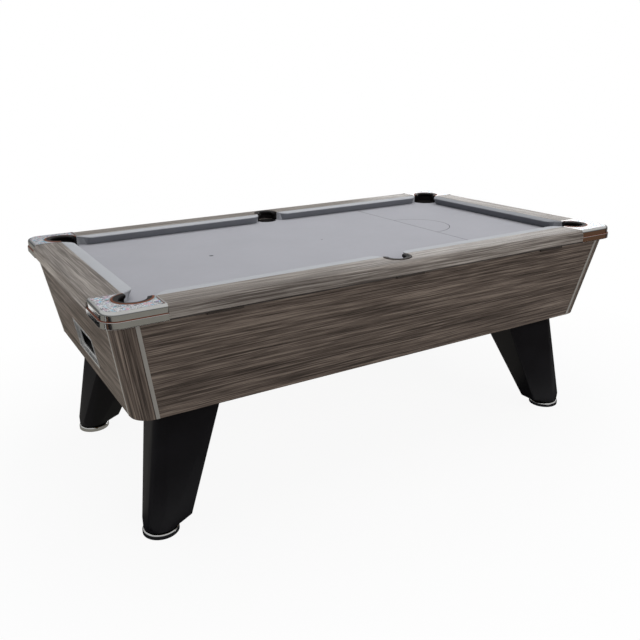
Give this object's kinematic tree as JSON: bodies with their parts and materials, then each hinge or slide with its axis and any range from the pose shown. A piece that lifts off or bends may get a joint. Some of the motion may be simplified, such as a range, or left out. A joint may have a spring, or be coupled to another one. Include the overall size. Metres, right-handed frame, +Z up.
{
  "type": "coin-operated pool table",
  "caption": "Coin-operated pub pool table: hinged slate top with cushioned rails and pockets, tapered cabinet with ball return, splayed legs on levelling feet.",
  "frame": {"origin": "centre of the table's footprint, on the floor", "axes": "+X along the table away from the ball-return window, +Y across it towards the coin mechanism's side, +Z up"},
  "size_m": [2.134, 1.212, 0.8405],
  "materials": {
    "rail_laminate": "satin",
    "panel_laminate": "satin",
    "post_laminate": "satin",
    "slate_stone": "matt",
    "bed_cloth": "woven",
    "cushion_cloth": "woven",
    "bright_casting": "polished",
    "sparkle_inlay": "glitter",
    "pocket_liner": "satin",
    "plywood": "matt",
    "plated_steel": "zinc plated",
    "edging": "polished",
    "leg_black": "satin lacquer",
    "foot_chrome": "polished",
    "mech_plate": "brushed",
    "return_chrome": "polished"
  },
  "bodies": {
    "cabinet": {"side_panel_near": "panel_laminate", "side_panel_far": "panel_laminate", "end_panel_return": "panel_laminate", "end_panel_baulk": "panel_laminate", "corner_posts": "post_laminate", "edging_strips": "edging", "bottom_board": "plywood", "cross_dividers": "plywood", "ball_run_near": "plywood", "ball_run_far": "plywood", "collector_trough": "plywood", "storage_gully": "plated_steel", "run_cleats": "plywood", "return_tray": "plywood", "return_frame": "return_chrome", "coin_mech_plate": "mech_plate", "cash_partition": "plywood", "cash_box": "plated_steel", "hinge_body_leaves": "plated_steel", "lock_barrels": "return_chrome", "leg_near_left": "leg_black", "leg_near_right": "leg_black", "leg_far_left": "leg_black", "leg_far_right": "leg_black", "leg_bolts": "plated_steel", "stay_bracket": "plated_steel"},
    "top": {"slate": "slate_stone", "bed_cloth": "bed_cloth", "top_rail_near": "rail_laminate", "top_rail_far": "rail_laminate", "top_rail_return_end": "rail_laminate", "top_rail_baulk_end": "rail_laminate", "casting_near_left": "bright_casting", "casting_near_right": "bright_casting", "casting_far_left": "bright_casting", "casting_far_right": "bright_casting", "casting_inlays": "sparkle_inlay", "corner_pocket_liners": "pocket_liner", "middle_pocket_liners": "pocket_liner", "cushion_near_left": "cushion_cloth", "cushion_near_right": "cushion_cloth", "cushion_far_left": "cushion_cloth", "cushion_far_right": "cushion_cloth", "cushion_return_end": "cushion_cloth", "cushion_baulk_end": "cushion_cloth", "top_frame": "plywood", "rail_bolts": "plated_steel", "hinge_top_leaves": "plated_steel", "lock_keeps": "plated_steel"},
    "prop_stay": {"prop_stay": "plated_steel"},
    "coin_slide": {"coin_slide": "return_chrome"},
    "ball_gate": {"ball_gate": "plated_steel"},
    "cash_door": {"cash_door": "mech_plate"},
    "cash_lock": {"cash_lock": "return_chrome"},
    "top_lock_left": {"top_lock_left": "return_chrome"},
    "top_lock_right": {"top_lock_right": "return_chrome"},
    "foot_near_left": {"foot_near_left": "foot_chrome"},
    "foot_near_right": {"foot_near_right": "foot_chrome"},
    "foot_far_left": {"foot_far_left": "foot_chrome"},
    "foot_far_right": {"foot_far_right": "foot_chrome"}
  },
  "joints": [
    {"name": "top_hinge", "type": "hinge", "parent": "cabinet", "child": "top", "pos_m": [0, -0.6, 0.7865], "axis": [1, 0, 0], "range_deg": [0, 30]},
    {"name": "prop_stay_swing", "type": "hinge", "parent": "cabinet", "child": "prop_stay", "pos_m": [0.952, -0.3, 0.7], "axis": [1, 0, 0], "range_deg": [0, 54]},
    {"name": "coin_slide_push", "type": "slide", "parent": "cabinet", "child": "coin_slide", "axis": [0, -1, 0], "range_m": [0, 0.05], "stiffness_N_per_m": 300, "springref_m": -0.02},
    {"name": "ball_gate_turn", "type": "hinge", "parent": "cabinet", "child": "ball_gate", "pos_m": [-0.868, 0.033, 0.62], "axis": [0, 0, -1], "range_deg": [0, 38]},
    {"name": "cash_door_hinge", "type": "hinge", "parent": "cabinet", "child": "cash_door", "pos_m": [-0.7327, 0.55208, 0.53415], "axis": [0, -0.1929, -0.9812], "range_deg": [0, 100]},
    {"name": "cash_lock_turn", "type": "hinge", "parent": "cash_door", "child": "cash_lock", "pos_m": [-0.849, 0.54541, 0.53546], "axis": [0, -0.9812, 0.1929], "range_deg": [0, 90]},
    {"name": "top_lock_left_turn", "type": "hinge", "parent": "cabinet", "child": "top_lock_left", "pos_m": [-0.62, 0.5872, 0.748], "axis": [0, -0.9812, 0.1929], "range_deg": [0, 90]},
    {"name": "top_lock_right_turn", "type": "hinge", "parent": "cabinet", "child": "top_lock_right", "pos_m": [0.62, 0.5872, 0.748], "axis": [0, -0.9812, 0.1929], "range_deg": [0, 90]},
    {"name": "foot_near_left_wind", "type": "slide", "parent": "cabinet", "child": "foot_near_left", "axis": [0, 0, -1], "range_m": [0, 0.02]},
    {"name": "foot_near_right_wind", "type": "slide", "parent": "cabinet", "child": "foot_near_right", "axis": [0, 0, -1], "range_m": [0, 0.02]},
    {"name": "foot_far_left_wind", "type": "slide", "parent": "cabinet", "child": "foot_far_left", "axis": [0, 0, -1], "range_m": [0, 0.02]},
    {"name": "foot_far_right_wind", "type": "slide", "parent": "cabinet", "child": "foot_far_right", "axis": [0, 0, -1], "range_m": [0, 0.02]}
  ],
  "couplings": [
    {"joint": "prop_stay_swing", "follows": "top_hinge", "ratio": 1.8},
    {"joint": "ball_gate_turn", "follows": "coin_slide_push", "rad_per_m": 13.114}
  ]
}
